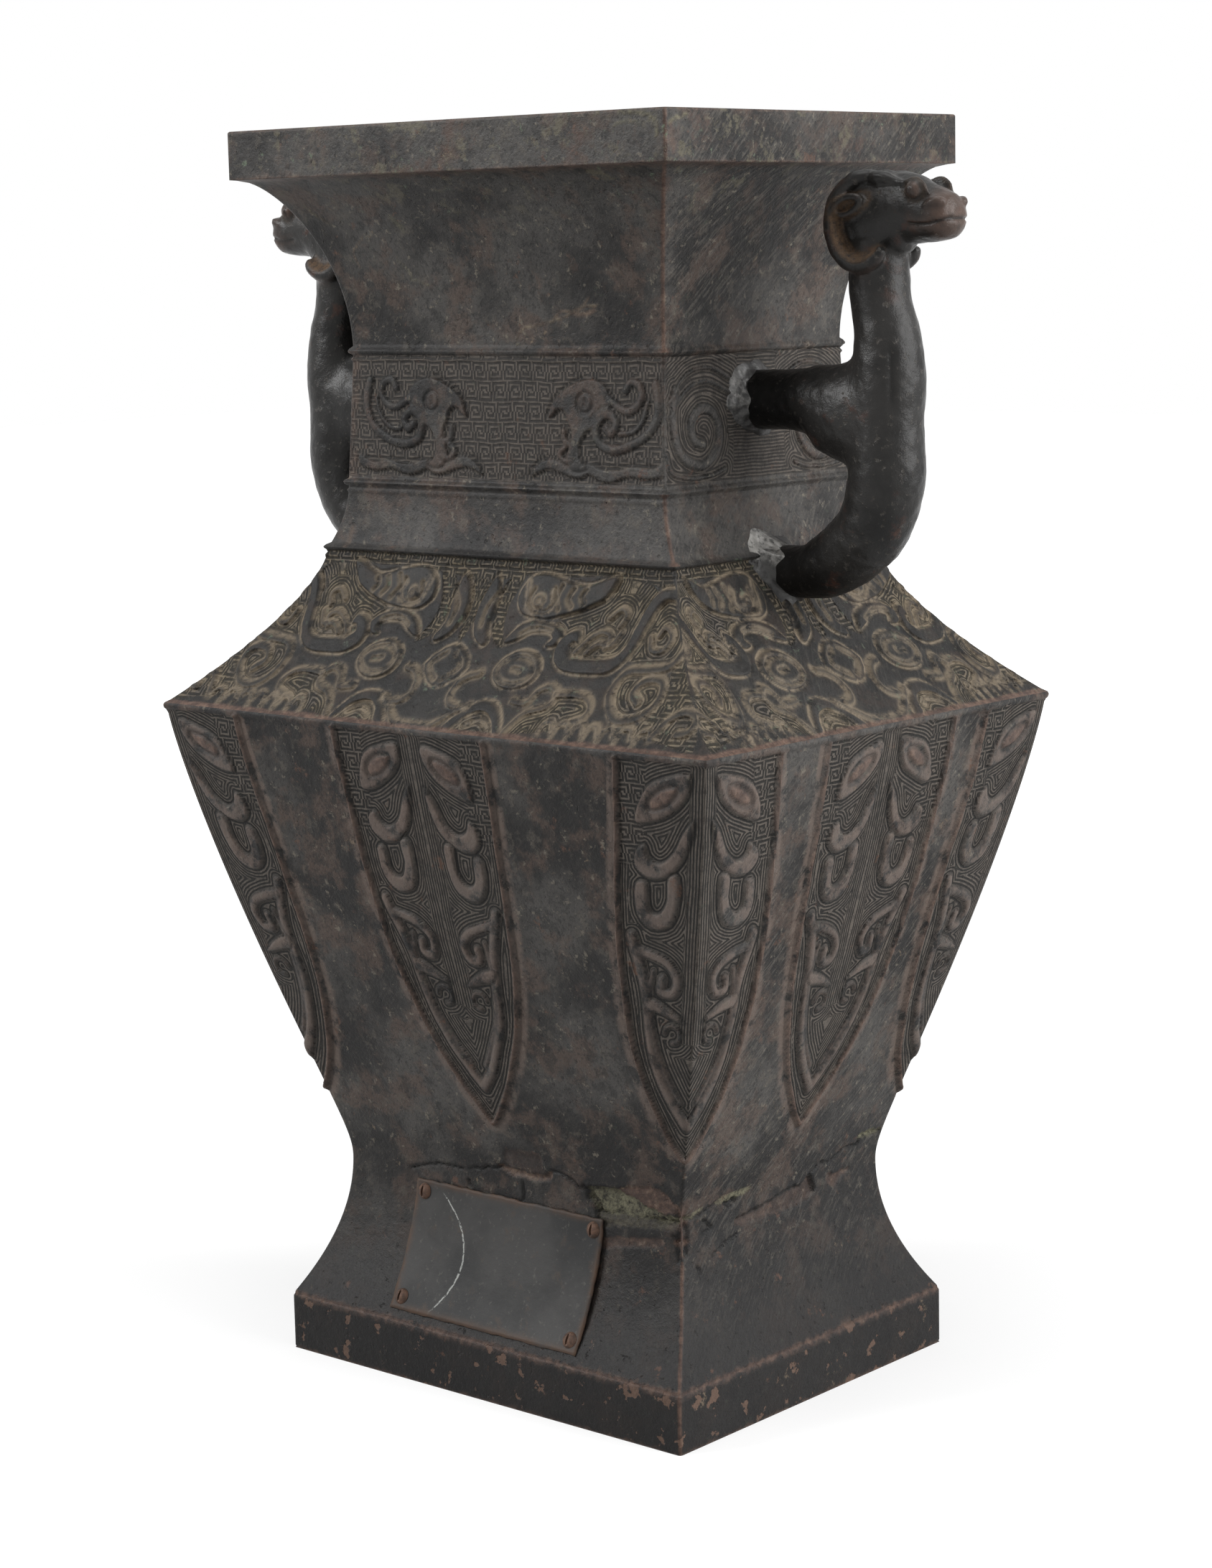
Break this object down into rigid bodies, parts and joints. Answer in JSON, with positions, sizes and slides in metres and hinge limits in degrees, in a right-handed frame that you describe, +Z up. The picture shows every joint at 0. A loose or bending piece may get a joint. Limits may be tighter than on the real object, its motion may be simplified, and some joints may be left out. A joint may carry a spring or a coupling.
{
  "type": "bronze hu vase",
  "caption": "Rectangular bronze hu vase with flared mouth, wide shoulder, narrow waist, hanging-leaf relief, beast-head side handles and a screwed-on plain name plate.",
  "frame": {"origin": "centre of the foot's resting face, on the floor", "axes": "+Z up through the mouth, front with the name plate towards -Y, handles on +X and -X"},
  "size_m": [0.3328, 0.2054, 0.47],
  "materials": {
    "bronze": "worn dark patina",
    "dark_bronze": "satin, near-black patina",
    "solder": "dull cast solder",
    "plate": "dull, tarnished",
    "screws": "rusty"
  },
  "bodies": {
    "root": {"vase_body": "bronze", "handle_right": "dark_bronze", "handle_left": "dark_bronze", "upper_solder_right": "solder", "lower_solder_right": "solder", "upper_solder_left": "solder", "lower_solder_left": "solder", "name_plate": "plate", "plate_screws": "screws"}
  },
  "joints": []
}
